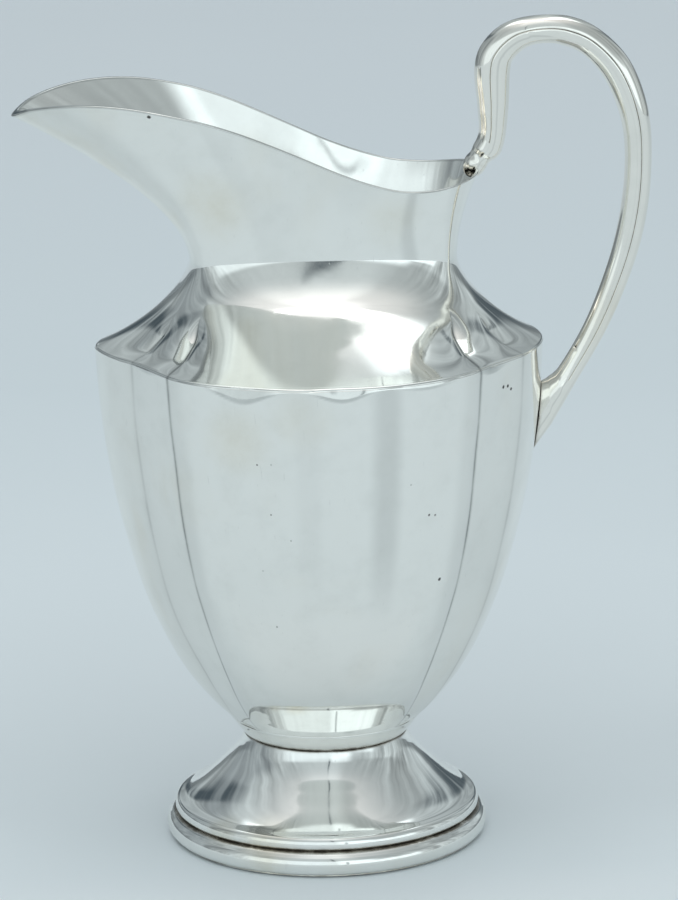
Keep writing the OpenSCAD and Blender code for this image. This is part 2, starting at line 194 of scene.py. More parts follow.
rings, soil_and_shade, line = [], [], []
FIL = 0.9
for a in np.radians([-60, -30, 0, 30]):                      # rounded seat edge
    z = ZB + 0.35 + 0.35 * math.sin(a)
    rings.append(bowl_ring(ZB + 0.35, 0.35 - 0.35 * math.cos(a), z))
    soil_and_shade.append(np.full(M, 0.16))
    line.append(LINE_AND_SHADE * 0.5)
zc = ZS - FIL * math.sin(math.radians(39.3))
for z in list(ease(104, ZB + 0.7, ZS - 5.0))[:-1] + list(np.linspace(ZS - 5.0, zc, 18)):
    rings.append(bowl_ring(z))
    soil_and_shade.append(CREASE * 0.30 + 0.10 * np.exp(-(z - ZB) / 2.0))
    # painted shade: where the roll is tall, its band under the shoulder edge is painted darker grey
    roll_shade = np.clip(6 * (z - (ZS - ROLL)) / ROLL, 0, 1) * np.clip((ROLL - 1.2) / 1.5, 0, 1)
    line.append(LINE_AND_SHADE * (0.75 + 0.25 * math.sin(z * 0.19) * math.sin(z * 0.07 + 1.0)) + 0.50 * roll_shade)
for a in np.radians([8, 16, 24, 32, 39.3]):                  # rounded shoulder edge, lower half
    rings.append(bowl_ring(ZS, FIL - FIL * math.cos(a), zc + FIL * math.sin(a)))
    soil_and_shade.append(CREASE * 0.42)
    # the same painted shade on the rounded edge above the tall rolls
    line.append(LINE_AND_SHADE * 0.7 + 0.25 * np.clip((ROLL - 1.2) / 1.5, 0, 1))
for z in ease(46, ZS, ZB + 1.2):
    rings.append(bowl_ring(z, WALL + (0.45 if z < 45 else 0.0), z, roll=False))
    soil_and_shade.append(np.full(M, 0.25))
    line.append(np.zeros(M))
bowl = shell_piece("bowl", rings, soil_and_shade, extra={"crease": np.concatenate(line)})

# ------------------------------------------------------------------ shoulder
WX, WA, WB, ZW, LIFT, FULL = 1.6, 40.4, 22.0, 181.5, 2.5, 3.2


def waist_at(c, s, inset=0.0):
    """The oval waist, a little fuller than an ellipse and higher at the front and back."""
    return np.c_[WX + (WA - inset) * np.sign(c) * np.abs(c)**(2/FULL), (WB - inset) * np.sign(s) * np.abs(s)**(2/FULL), ZW + LIFT*s*s]


def waist(inset=0.0):
    return waist_at(COS, SIN, inset)


FLAT = SIN**2


def rise(t):
    """How far in and how far up the shoulder has come at t: a round hollow at the ends, a long slope at the front and back."""
    g = t * math.pi / 2
    u = math.sin(g)
    hollow, slope = 0.41*u + 0.59*(1 - math.cos(g)), 0.50*u + 0.28*u*u + 0.22*u**11
    return u, hollow + FLAT*(slope - hollow)


def rise_d(t):
    g = t * math.pi / 2
    u, c = math.sin(g), math.cos(g)
    hollow, slope = 0.41*c + 0.59*u, (0.50 + 0.56*u + 2.42*u**10)*c
    return c, hollow + FLAT*(slope - hollow)


def shoulder_edge(t):
    k = (1 - t)**1.15
    r = section(BODY_R, ZS, DEEP_K[-1][1] * k * (1 + 1.1*t), SOFT_K[-1][1] * k)
    return np.c_[r*COS, r*SIN]


EDGE0 = shoulder_edge(0.0)
IN0 = EDGE0 / np.linalg.norm(EDGE0, axis=1)[:, None] * (0.20 * ROLL)[:, None]      # the roll carries on over the edge


def soft_step(x, a, b):
    k = np.clip((x - a) / (b - a), 0, 1)
    return k*k*(3 - 2*k)


def cusp(d, front, side):
    """A valley with round flanks: 1 in the crease, falling off at its own rate on either side."""
    q = np.sqrt(d*d + 0.12) - 0.346
    return np.exp(-q / np.where(d < 0, front, side))


VALLEY = np.maximum(3.2 * cusp(TH - DEEP_AT, 6.0, 3.2), 2.0 * cusp(TH - SOFT_AT, 3.0, 6.0))


def shoulder_ring(t):
    e, w = shoulder_edge(t) - IN0 * (1 - t)**6, waist()
    u, h = rise(t)
    deep = VALLEY * soft_step(u, 0.0, 0.22) * (1 - soft_step(u, 0.40, 0.74))
    e = e * (1 - u) - EDGE0 / np.linalg.norm(EDGE0, axis=1)[:, None] * deep[:, None]
    return np.c_[e + u*w[:, :2], ZS + (w[:, 2] - ZS)*h]


def shoulder_in(t):
    p = shoulder_ring(t)
    run = waist()[:, :2] - EDGE0
    ln = np.linalg.norm(run, axis=1)
    du, dh = rise_d(t)
    ds, dz = du * ln, dh * (waist()[:, 2] - ZS)
    q = np.hypot(ds, dz)
    p[:, :2] += (WALL * dz / q / ln)[:, None] * run
    p[:, 2] = np.maximum(ZS + 0.05*t + 0.02, p[:, 2] - WALL * ds / q)
    return p


r0 = np.linalg.norm(EDGE0 - IN0, axis=1)
rings, soil_and_shade, line = [], [], []
for a in np.radians([39.3, 46, 53, 60, 66]):                 # rounded shoulder edge, upper half
    r = r0 - FIL + FIL * math.cos(a)
    rings.append(np.c_[r*COS, r*SIN, np.full(M, zc + FIL * math.sin(a))])
    soil_and_shade.append(CREASE * 0.42)
    line.append(LINE_AND_SHADE * 0.7)
for t in ease(72, 0.022, 1.0):
    rings.append(shoulder_ring(t))
    soil_and_shade.append(CREASE * 0.4 * (1 - t)**2)
    line.append(LINE_AND_SHADE * (1 - soft_step(t, 0.30, 0.55)))
for t in ease(30, 1.0, 0.06):
    rings.append(waist(WALL) if t == 1.0 else shoulder_in(t))
    soil_and_shade.append(np.full(M, 0.1))
    line.append(np.zeros(M))
r1 = r0 - 2.2
rings.append(np.c_[r1*COS, r1*SIN, np.full(M, ZS)])
soil_and_shade.append(np.full(M, 0.1))
line.append(np.zeros(M))
shoulder = shell_piece("shoulder", rings, soil_and_shade, extra={"crease": np.concatenate(line)})

# ------------------------------------------------------------------ neck and lip
TIP, BACK, MID, MOUTH = 90.9, 48.6, 12.8, 26.6
RIM = [(-TIP, 226.5), (-85, 229.7), (-75, 232), (-65, 232.7), (-55, 232.2), (-45, 230.5), (-35, 228.1), (-25, 224.7),
       (-15, 220.5), (-5, 216), (5, 211.5), (15, 207.8), (24, 205.5), (33, 205), (40, 205.7), (BACK, 207.6)]
WIDE = [(-TIP, 1.07), (-80, 1.15), (-65, 1.23), (-50, 1.25), (-38, 1.21), (-26, 1.12), (-14, 1.03), (0, 0.985),
        (14, 1), (28, 1), (40, 0.96), (BACK, 0.92)]
NPHI = np.linspace(0, 360, 360, endpoint=False)
NC, NS = np.cos(np.radians(NPHI)), np.sin(np.radians(NPHI))


def rim_curve(inset, drop=0.0):
    w, tip, back = MOUTH - 1.15*inset, TIP - 2.4*inset, BACK - 1.1*inset
    m = 3.2
    x = np.clip(m + (back + tip)/2 * NC - (m - (back - tip)/2) * NC*NC, -tip, back)
    f = np.clip((MID - x) / (MID + tip), 0, 1)
    b = np.clip((x - MID) / (back - MID), 0, 1)
    y = w * spl(WIDE, x) * np.where(x < MID, np.sqrt(np.maximum(0, 1 - f**3)), np.maximum(0, 1 - b**3)**(1/3))
    return np.c_[x, np.sign(np.where(np.abs(NS) < 1e-6, 0, NS)) * y, spl(RIM, x) - drop]


def neck_waist(inset=0.0):
    return waist_at(NC, NS, inset)


def neck_ring(t, inset, drop=0.0):
    p, q = neck_waist(inset * WALL), rim_curve(inset, drop)
    d = q - p
    return bez(p, p + d*np.array([0.015, 0.015, 0.27]), p + d*np.array([0.34, 0.45, 0.60]), q, t)


rings, soil_and_shade = [], []
NN = len(NPHI)
for t in ease(84, 0.0, 1.0):
    rings.append(neck_ring(t, 0.0, 0.45))
    soil_and_shade.append(np.full(NN, 0.15 * float(t > 0.97)))
# rounded mouth edge
o_, i_ = neck_ring(1.0, 0.0, 0.45), neck_ring(1.0, 1.0, 0.45)
for a in np.radians([22, 45, 67, 90, 113, 135, 158]):
    k = 0.5 - 0.5*math.cos(a)
    rr = (1-k)*o_ + k*i_
    rr[:, 2] += 0.45 * math.sin(a)
    rings.append(rr)
    soil_and_shade.append(np.full(NN, 0.0))
for t in ease(60, 1.0, 0.0):
    rings.append(neck_ring(t, 1.0, 0.45))
    soil_and_shade.append(np.full(NN, 0.12))
edge = np.zeros(len(rings))
edge[83:93] = 0.42
neck = shell_piece("neck", rings, soil_and_shade, extra={"crease": np.repeat(edge, NN)})

# ------------------------------------------------------------------ bowl bottom, foot and base ring
JZ, JR = 32.3, 25.0
pts, sl = [], []
for r, z, s in [(JR + 0.15, JZ + 0.02, 1.0), (JR + 0.45, JZ + 0.2, 0.9), (26.2, 33.4, 0.25), (27.2, 34.7, 0.12), (28.0, 35.8, 0.08),
                (28.5, 36.7, 0.08), (28.75, 37.2, 0.12), (28.8, ZB, 0.3)]:
    pts.append((r, z)); sl.append(s)
col = np.array(pts)
tt = np.linspace(0, 1, 36)
arc = np.r_[0, np.cumsum(np.hypot(*np.diff(col, axis=0).T))]
arc /= arc[-1]
cr, cz = spl(np.c_[arc, col[:, 0]], tt), spl(np.c_[arc, col[:, 1]], tt)
cs = np.interp(tt, arc, sl)
prof = list(zip(cr, cz)) + [(27.4, ZB), (25.4, 36.3), (20, 35.7), (10, 35.55), (1.0, 35.5), (1.0, 34.42), (12, 34.42), (20, 34.4), (22.4, 33.6), (23.4, JZ + 0.02)]
bowl_bottom = lathe_piece("bowl_bottom", prof, list(cs) + [0.3] * 5 + [0.6] * 5)
# close the middle of the disc
me = bowl_bottom.data
n_s = 288
top_row = len(cr) + 4
import bmesh
bm = bmesh.new()
bm.from_mesh(me)
bm.verts.ensure_lookup_table()
between = [f for f in bm.faces if all(abs(math.hypot(v.co.x, v.co.y) - 1.0*MM) < 1e-6 for v in f.verts)]
bmesh.ops.delete(bm, geom=between, context="FACES_ONLY")
bm.verts.ensure_lookup_table()
bm.faces.new([bm.verts[top_row*n_s + j] for j in range(n_s)])
bm.faces.new([bm.verts[(top_row + 1)*n_s + j] for j in reversed(range(n_s))])
bmesh.ops.recalc_face_normals(bm, faces=bm.faces)
bm.to_mesh(me)
bm.free()
me.polygons.foreach_set("use_smooth", [True] * len(me.polygons))
me.set_sharp_from_angle(angle=math.radians(35))

FOOT = [(-0.2, 24.95), (0.0, 25.0), (2.2, 25.8), (4.6, 27.0), (7.6, 29.3), (11.0, 32.6), (14.0, 35.8), (16.8, 39.0), (18.8, 41.6), (20.0, 43.5), (20.7, 45.3)]  # (drop below the joint, radius)
RH = 7.5
TR = 47.0
pts, sl = [(JR - 0.35, JZ - 0.02), (JR - 0.12, JZ - 0.12)], [1.0, 1.0]
for d in 20.7 - 20.35 * np.linspace(1, 0, 70)**1.25:
    pts.append((float(spl(FOOT, d)), JZ - d)); sl.append(0.85*math.exp(-(d - 0.35) / 0.45))
# the step: a soft shoulder, a short wall and a tucked-under lower edge
for r, z, s in [(45.75, 11.42, 0.02), (46.2, 11.12, 0.02), (46.55, 10.7, 0.02), (46.78, 10.2, 0.03), (46.92, 9.6, 0.05), (46.98, 8.9, 0.14), (46.93, 8.4, 0.35), (46.75, 7.95, 0.75), (46.4, 7.52, 1.0)]:
    pts.append((r, z)); sl.append(s)
for r, z in [(45.4, 7.52), (45.3, 9.1), (44.6, 10.0)]:
    pts.append((r, z)); sl.append(0.6)
for d in np.linspace(20.0, 0.9, 34):
    pts.append((float(spl(FOOT, d)) - 1.1, JZ - d - 0.9 * min(1.0, d / 20))); sl.append(0.5)
pts.append((JR - 1.15, JZ - 0.02)); sl.append(0.6)
# the profile ran down the outside, so turn it round
foot = lathe_piece("foot", pts[::-1], sl[::-1], 320)

RR = 49.5
# the flat underneath and the lowest turn of the bead get painted contact shadow where the ring meets the floor; the top
# under the foot step is a dark joint
pts, sl = [(45.0, 0.0), (47.6, 0.0), (47.95, 0.06)], [0.6, 0.6, 0.6]
for a in np.radians(np.linspace(-72, 58, 40)):
    pts.append((RR - 2.4 + 2.4*math.cos(a), 3.35 + 3.3*math.sin(a))); sl.append(0.55 * max(0.0, -math.sin(a) - 0.55) * 2)
for r, z, s in [(48.05, 6.55, 0.1), (47.7, 6.85, 0.3), (47.3, 7.1, 0.8), (46.9, 7.3, 1.0), (46.4, 7.48, 1.0), (45.0, 7.48, 0.8)]:
    pts.append((r, z)); sl.append(s)
foot_ring = lathe_piece("foot_ring", pts, sl, 320)

# ------------------------------------------------------------------ handle
RIBS = np.array([
    [45.2, 212.0, 50.8, 207.2], [48.8, 217.2, 56.0, 212.5], [48.6, 226.0, 57.9, 223.9], [47.8, 237.0, 58.6, 236.5],
    [50.1, 244.4, 60.0, 240.3], [56.8, 250.5, 63.9, 243.4], [66.6, 252.8, 68.4, 244.3], [77.2, 252.1, 73.7, 243.8],
    [86.4, 247.4, 80.6, 240.6], [95.0, 237.7, 87.3, 232.5], [100.2, 222.7, 92.0, 219.7], [101.0, 206.0, 92.9, 206.0],
    [99.2, 189.5, 91.2, 190.9], [94.8, 173.7, 87.5, 176.1], [87.2, 155.9, 80.8, 158.7], [77.1, 138.4, 73.0, 145.1],
    [70.5, 127.0, 69.2, 141.5]])
HW, HWALL, SEAM = 9.6, 1.1, 80.0
SIDX = np.arange(len(RIBS))


def rib(s):
    return [float(spl(np.c_[SIDX, RIBS[:, c]], s)) for c in range(4)]


def rib_ring(s, ang, inset=0.0, groove=0.0):
    """Points on a rib; ang in degrees, 0 on the outer side."""
    ox, oz, ix, iz = rib(s)
    c = np.array([ox + ix, oz + iz]) / 2
    h = np.array([ox - ix, oz - iz]) / 2
    ln = np.linalg.norm(h)
    wy = min(HW, 0.3 + 2*ln) / 2 * (1 - 0.035*(s - 12) if s > 12 else 1)
    a = np.radians(ang)
    k = 1 - (inset + groove) / ln
    return np.c_[c[0] + h[0]*k*np.cos(a), (wy - inset - groove)*np.sin(a), c[1] + h[1]*k*np.cos(a)]


def half_piece(name, a0, a1):
    """One stamped half: a channel that follows the ribs, with its two long edges rolled in a little at the seam."""
    span = a1 - a0
    core = np.linspace(a0 + 4.5, a1 - 4.5, 44)
    out_a = np.r_[a0 + 0.25, a0 + 1.2, a0 + 2.6, core, a1 - 2.6, a1 - 1.2, a1 - 0.25]
    g = np.r_[0.34, 0.15, 0.04, np.zeros(len(core)), 0.04, 0.15, 0.34]
    s_o = np.r_[1.0, 0.55, 0.12, np.zeros(len(core)), 0.12, 0.55, 1.0]
    in_a = np.linspace(a1 - 0.25, a0 + 0.25, 26)
    rings, soil_and_shade = [], []
    for s in np.linspace(1.0, 15.0, 190):
        end = max(math.exp(-(s - 1.0) / 0.10), math.exp(-(15.0 - s) / 0.10))
        rings.append(np.concatenate([rib_ring(s, out_a, 0.0, g[:, None].ravel()) if False else
                                     np.concatenate([rib_ring(s, np.array([a]), 0.0, gg) for a, gg in zip(out_a, g)]),
                                     rib_ring(s, in_a, HWALL)]))
        k = float(spl([(1, 0.20), (5.8, 0.12), (6.6, 0.5), (7.0, 1.0), (8.2, 0.95), (10.0, 0.75), (12.5, 0.6), (15, 0.35)], s))
        soil_and_shade.append(np.r_[np.maximum(s_o * k, 0.15*end), np.full(len(in_a), 0.6)])
    n, m = len(rings), len(rings[0])
    v = np.concatenate(rings)
    faces = ring_faces(n, m, wrap_n=False)
    no, ni = len(out_a), len(in_a)
    for base, flip in ((0, True), ((n - 1)*m, False)):       # end walls
        outer = list(range(base, base + no))
        inner = list(range(base + m - 1, base + no - 1, -1))
        f = []
        i = j = 0
        while i < no - 1 or j < ni - 1:
            if j >= ni - 1 or (i < no - 1 and (i + 1) / (no - 1) <= (j + 1) / (ni - 1)):
                f.append((outer[i], outer[i + 1], inner[j])); i += 1
            else:
                f.append((outer[i], inner[j + 1], inner[j])); j += 1
        faces += [tuple(reversed(q)) if flip else q for q in f]
    return new_piece(name, v, faces, {"soil_and_shade": np.concatenate(soil_and_shade)}, 50.0)


handle_outer_half = half_piece("handle_outer_half", -SEAM, SEAM)
handle_inner_half = half_piece("handle_inner_half", SEAM, 360 - SEAM)


def solid_piece(name, rings, soil_and_shade, sharp=50.0):
    """A closed solid through rings, with its two ends closed by a flat fan."""
    n, m = len(rings), len(rings[0])
    v = np.concatenate(rings)
    c0, c1 = rings[0].mean(0), rings[-1].mean(0)
    v = np.vstack([v, c0, c1])
    faces = ring_faces(n, m, wrap_n=False)
    for j in range(m):
        k = (j + 1) % m
        faces.append((k, j, n*m))
        faces.append(((n-1)*m + j, (n-1)*m + k, n*m + 1))
    sl = np.r_[np.concatenate(soil_and_shade), soil_and_shade[0].mean(), soil_and_shade[-1].mean()]
    return new_piece(name, v, faces, {"soil_and_shade": sl}, sharp)


FA = np.linspace(0, 360, 72, endpoint=False)
# knuckle: the handle closes down to a bulb that sits over the back of the mouth
knob, kr, kl = np.array([47.9, 208.4]), 3.5, 4.6
kd, kq = np.array([-0.5, -0.866]), np.array([0.866, -0.5])


def knob_ring(t):
    r = kr * math.cos(math.radians(88*t))
    c = knob + kd * kl * math.sin(math.radians(88*t))
    a = np.radians(FA)
    return np.c_[c[0] - kq[0]*r*np.cos(a), r*np.sin(a), c[1] - kq[1]*r*np.cos(a)]


rings, soil_and_shade = [], []
for t in np.linspace(1, 0, 18):
    rings.append(knob_ring(t)); soil_and_shade.append((0.22 + 0.55 * t**0.7) * (0.65 + 0.35*np.cos(np.radians(FA - 60))))
top, low = rib_ring(1.0, FA), knob_ring(0)
tc, lc = top.mean(0), low.mean(0)
tm = (rib_ring(1.25, FA).mean(0) - tc) * 4
tm, lm = tm / np.linalg.norm(tm) * 8.0, np.array([0.5, 0.0, 0.866]) * 8.0
for t in np.linspace(0.05, 1.0, 26):
    k = t*t*(3 - 2*t)
    c = (2*t**3 - 3*t*t + 1)*lc + (t**3 - 2*t*t + t)*lm + (3*t*t - 2*t**3)*tc + (t**3 - t*t)*tm
    pinch = 1 - 0.10 * math.sin(math.pi * t / 0.6)**2 if t < 0.6 else 1.0
    rings.append(c + ((1-k)*(low - lc) + k*(top - tc)) * pinch); soil_and_shade.append(np.full(len(FA), max(0.0, 0.30 - t)))
handle_knuckle = solid_piece("handle_knuckle", rings, soil_and_shade)

# tail: the handle lies down on the body in a tongue
T_TOP, T_END = 140.5, 119.5
a = np.radians(FA)
sz = (T_TOP + T_END)/2 - (T_TOP - T_END)/2 * np.cos(a)
seat = np.c_[spl(BOWL, sz) + 0.12, 3.4*np.sin(a), sz]
rings, soil_and_shade = [], []
for s in np.linspace(15.0, 16.0, 14):
    rings.append(rib_ring(s, FA)); soil_and_shade.append(np.full(len(FA), 0.05))
for t in np.linspace(0.08, 1.0, 14):
    rings.append((1-t)*rib_ring(16.0, FA) + t*seat); soil_and_shade.append(np.full(len(FA), 0.05 + 0.8*t**5))
handle_tail = solid_piece("handle_tail", rings, soil_and_shade)

PIECES = [(bowl, "bowl", "silver_body"), (bowl_bottom, "bowl_bottom", "silver_body"), (shoulder, "shoulder", "silver_body"),
          (neck, "neck", "silver_body"), (foot, "foot", "silver_foot"), (foot_ring, "foot_ring", "silver_foot"),
          (handle_outer_half, "handle_outer_half", "silver_handle"), (handle_inner_half, "handle_inner_half", "silver_handle"),
          (handle_knuckle, "handle_knuckle", "silver_handle"), (handle_tail, "handle_tail", "silver_handle")]
for piece, node, slot in PIECES:
    bm = bmesh.new()
    bm.from_mesh(piece.data)
    bmesh.ops.recalc_face_normals(bm, faces=bm.faces)
    bm.to_mesh(piece.data)
    bm.free()
    piece.name = node + "_silver"
    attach(piece, "root")
    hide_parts(node)

# ------------------------------------------------------------------ node helpers
def link(nt, sock, v):
    if isinstance(v, bpy.types.NodeSocket):
        nt.links.new(v, sock)
    else:
        sock.default_value = v


def calc(nt, op, a, b=0.0, clamp=False):
    n = nt.nodes.new("ShaderNodeMath")
    n.operation, n.use_clamp = op, clamp
    link(nt, n.inputs[0], a)
    link(nt, n.inputs[1], b)
    return n.outputs[0]


def mul(nt, *v):
    out = v[0]
    for x in v[1:]:
        out = calc(nt, "MULTIPLY", out, x)
    return out


def fade(nt, x, a, b, lo=0.0, hi=1.0):
    """Smooth change from lo at a to hi at b."""
    n = nt.nodes.new("ShaderNodeMapRange")
    n.interpolation_type = "SMOOTHSTEP"
    for i, v in enumerate((x, a, b, lo, hi)):
        link(nt, n.inputs[i], v)
    return n.outputs[0]


def blend(nt, fac, a, b, how="MIX"):
    n = nt.nodes.new("ShaderNodeMix")
    n.data_type, n.blend_type = "RGBA", how
    link(nt, n.inputs[0], fac)
    link(nt, n.inputs[6], a)
    link(nt, n.inputs[7], b)
    return n.outputs[2]


def noise(nt, vec, scale, detail=2.0, rough=0.5, warp=0.0):
    n = nt.nodes.new("ShaderNodeTexNoise")
    link(nt, n.inputs["Vector"], vec)
    n.inputs["Scale"].default_value = scale
    n.inputs["Detail"].default_value = detail
    n.inputs["Roughness"].default_value = rough
    n.inputs["Distortion"].default_value = warp
    return n.outputs[0]


def stretch(nt, vec, scale, turn=(0, 0, 0), shift=(0, 0, 0)):
    n = nt.nodes.new("ShaderNodeMapping")
    link(nt, n.inputs["Vector"], vec)
    n.inputs["Location"].default_value = shift
    n.inputs["Rotation"].default_value = turn
    n.inputs["Scale"].default_value = scale
    return n.outputs[0]


def ramp(nt, x, stops):
    n = nt.nodes.new("ShaderNodeValToRGB")
    link(nt, n.inputs[0], x)
    e = n.color_ramp.elements
    while len(e) < len(stops):
        e.new(0.5)
    for i, (at, c) in enumerate(stops):
        e[i].position = at
        e[i].color = (*c, 1)
    return n.outputs[0]


# ------------------------------------------------------------------ silver
# small pits and dings: centre in mm, radius in mm, darkness
PITS = [(-49.65, -28.81, 229.86, 0.75, 0.9), (-20.63, -60.95, 132.09, 0.35, 0.7), (-16.57, -62.15, 132.3, 0.3, 0.7),
        (-16.81, -59.95, 116.6, 0.35, 0.7), (-11.09, -59.77, 108.5, 0.3, 0.6), (-19.4, -55.33, 98.31, 0.3, 0.6),
        (-15.51, -51.3, 79.8, 0.35, 0.6), (33.06, -45.66, 91.71, 0.75, 0.9), (29.84, -54.06, 113.79, 0.55, 0.8),
        (31.67, -52.81, 113.41, 0.45, 0.7), (24.41, -58.55, 124.26, 0.3, 0.6), (53.5, -34.1, 147.2, 0.75, 0.9),
        (54.9, -32.3, 147.0, 0.7, 0.9), (55.96, -30.83, 145.7, 0.7, 0.85), (22.02, -25.35, 175.18, 0.5, 0.9),
        (28.82, -21.05, 177.11, 0.35, 0.7), (40.2, 48.1, 120.0, 0.5, 0.8), (-30.5, 55.2, 101.0, 0.4, 0.7)]


# broad warm stains: centre in mm, radius in mm, strength
STAINS = [(-31, -21, 201, 16, 0.55), (-25, -56, 138, 15, 0.5), (-8, -63, 146, 12, 0.3), (21, -24, 197, 12, 0.3), (-46, -44, 120, 14, 0.25),
          (36, 50, 131, 18, 0.4), (-20, 22, 205, 14, 0.4), (-20, -42, 9.5, 13, 0.9), (-33, -33, 9.5, 9, 0.6), (20, 42, 9.5, 12, 0.6)]


def silver(name, tint, warm, pits=()):
    mat = bpy.data.materials.new(name)
    mat.use_nodes = True
    nt = mat.node_tree
    b = nt.nodes["Principled BSDF"]
    b.inputs["Metallic"].default_value = 1.0
    where = nt.nodes.new("ShaderNodeTexCoord").outputs["Object"]
    soil_and_shade = nt.nodes.new("ShaderNodeAttribute")
    soil_and_shade.attribute_name = "soil_and_shade"
    soil_and_shade = soil_and_shade.outputs["Fac"]
    # thin warm tarnish in clouds, thicker in streaks that run down
    cloud = noise(nt, where, 16.0, 3.0, 0.55, 0.6)
    run = noise(nt, stretch(nt, where, (70, 70, 9)), 1.0, 3.0, 0.6)
    veil = calc(nt, "MULTIPLY", fade(nt, cloud, 0.50, 0.74), fade(nt, run, 0.35, 0.75))
    col = blend(nt, mul(nt, veil, warm), (*tint, 1), (0.80, 0.70, 0.52, 1))
    mott = noise(nt, where, 95.0, 4.0, 0.65)
    stain = None
    for x, y, z, r, k in STAINS:
        n = nt.nodes.new("ShaderNodeVectorMath")
        n.operation = "DISTANCE"
        link(nt, n.inputs[0], where)
        n.inputs[1].default_value = (x*MM, y*MM, z*MM)
        d = fade(nt, calc(nt, "ADD", n.outputs["Value"], mul(nt, calc(nt, "SUBTRACT", cloud, 0.5), 1.6*r*MM)), r*MM, 0.1*r*MM, 0.0, k)
        stain = d if stain is None else calc(nt, "MAXIMUM", stain, d)
    col = blend(nt, mul(nt, stain, fade(nt, mott, 0.25, 0.7, 0.45, 0.9)), col, (0.82, 0.755, 0.61, 1))
    col = blend(nt, fade(nt, mott, 0.42, 0.80, 0.0, 0.16), col, (0.62, 0.62, 0.58, 1))
    # dark deposit in joints and creases, broken up, and painted contact shadow at the foot of the base ring
    grain = noise(nt, where, 620.0, 4.0, 0.7)
    patch = noise(nt, where, 150.0, 3.0, 0.6)
    dirt_and_shade = mul(nt, soil_and_shade, fade(nt, patch, 0.22, 0.62, 0.50, 1.0), fade(nt, grain, 0.25, 0.62, 0.72, 1.0))
    col = blend(nt, fade(nt, dirt_and_shade, 0.05, 0.85, 0.0, 0.90), col, ramp(nt, dirt_and_shade, [(0.0, (0.46, 0.42, 0.34)), (0.45, (0.25, 0.21, 0.155)), (1.0, (0.075, 0.062, 0.046))]))
    # grey from the attribute: the crease lines, partly tarnish and partly painted shade, painted shade beside them and
    # in the tall rolled bands under the shoulder edge, and a grey line round the mouth edge
    crease = nt.nodes.new("ShaderNodeAttribute")
    crease.attribute_name = "crease"
    crease = mul(nt, crease.outputs["Fac"], fade(nt, patch, 0.20, 0.60, 0.70, 1.0))
    col = blend(nt, mul(nt, crease, 0.80), col, (0.24, 0.25, 0.245, 1))
    # hairline scratches in three directions
    hair = None
    for turn, size, cut in (((0.2, 0.5, 0.2), (1500, 1500, 40), 0.765), ((0.3, -0.9, 0.1), (1700, 1700, 55), 0.77), ((0, 1.45, 0), (1400, 1400, 45), 0.78)):
        h = fade(nt, noise(nt, stretch(nt, where, size, turn), 1.0, 1.0, 0.4), cut, cut + 0.05)
        hair = h if hair is None else calc(nt, "MAXIMUM", hair, h)
    col = blend(nt, mul(nt, hair, 0.20), col, (0.55, 0.55, 0.54, 1))
    rough = calc(nt, "ADD", fade(nt, mott, 0.3, 0.8, 0.045, 0.105), mul(nt, dirt_and_shade, 0.35))
    rough = calc(nt, "ADD", rough, mul(nt, hair, 0.12))
    dots = None
    for x, y, z, r, k in pits:
        n = nt.nodes.new("ShaderNodeVectorMath")
        n.operation = "DISTANCE"
        link(nt, n.inputs[0], where)
        n.inputs[1].default_value = (x*MM, y*MM, z*MM)
        d = calc(nt, "ADD", n.outputs["Value"], mul(nt, calc(nt, "SUBTRACT", grain, 0.5), 0.9 * r * MM))
        d = fade(nt, d, r*MM, 0.45*r*MM, 0.0, k)
        dots = d if dots is None else calc(nt, "MAXIMUM", dots, d)
    if dots is not None:
        col = blend(nt, dots, col, (0.035, 0.032, 0.03, 1))
        rough = calc(nt, "ADD", rough, mul(nt, dots, 0.4))
    nt.links.new(col, b.inputs["Base Color"])
    nt.links.new(rough, b.inputs["Roughness"])
    # hand-worked surface: a long shallow wave, a short one and the pits
    lift = calc(nt, "ADD", mul(nt, noise(nt, where, 42.0, 2.0, 0.5), 0.0011), mul(nt, mott, 0.00006))
    if dots is not None:
        lift = calc(nt, "SUBTRACT", lift, mul(nt, dots, 0.0002))
    lift = calc(nt, "SUBTRACT", lift, mul(nt, hair, 0.00001))
    bump = nt.nodes.new("ShaderNodeBump")
    bump.inputs["Strength"].default_value = 0.10
    bump.inputs["Distance"].default_value = 1.0
    nt.links.new(lift, bump.inputs["Height"])
    nt.links.new(bump.outputs[0], b.inputs["Normal"])
    return mat


MATS = {"silver_body": silver("silver_body", (0.925, 0.918, 0.880), 0.34, PITS),
        "silver_foot": silver("silver_foot", (0.920, 0.918, 0.888), 0.22),
        "silver_handle": silver("silver_handle", (0.915, 0.885, 0.825), 0.42)}
for piece, node, slot in PIECES:
    piece.data.materials.append(MATS[slot])

# ------------------------------------------------------------------ stage
me = bpy.data.meshes.new("floor")
me.from_pydata([(-9, -9, -0.0004), (9, -9, -0.0004), (9, 9, -0.0004), (-9, 9, -0.0004)], [], [(0, 1, 2, 3)])
floor = bpy.data.objects.new("floor", me)
bpy.context.scene.collection.objects.link(floor)
fm = bpy.data.materials.new("floor_paper")
fm.use_nodes = True
nt = fm.node_tree
b = nt.nodes["Principled BSDF"]
where = nt.nodes.new("ShaderNodeTexCoord").outputs["Object"]
sep = nt.nodes.new("ShaderNodeSeparateXYZ")
nt.links.new(where, sep.inputs[0])
# painted light falloff: the paper is painted lighter at the front and darker towards the back, with soft uneven patches
far = calc(nt, "ADD", fade(nt, sep.outputs[1], -0.25, 1.9, 0.0, 0.85), mul(nt, noise(nt, where, 3.0, 2.0, 0.5), 0.12))
paper = ramp(nt, far, [(0.0, (0.800, 0.850, 0.875)), (0.14, (0.790, 0.842, 0.868)), (0.345, (0.700, 0.758, 0.788)), (0.81, (0.673, 0.715, 0.746)), (1.0, (0.650, 0.692, 0.724))])
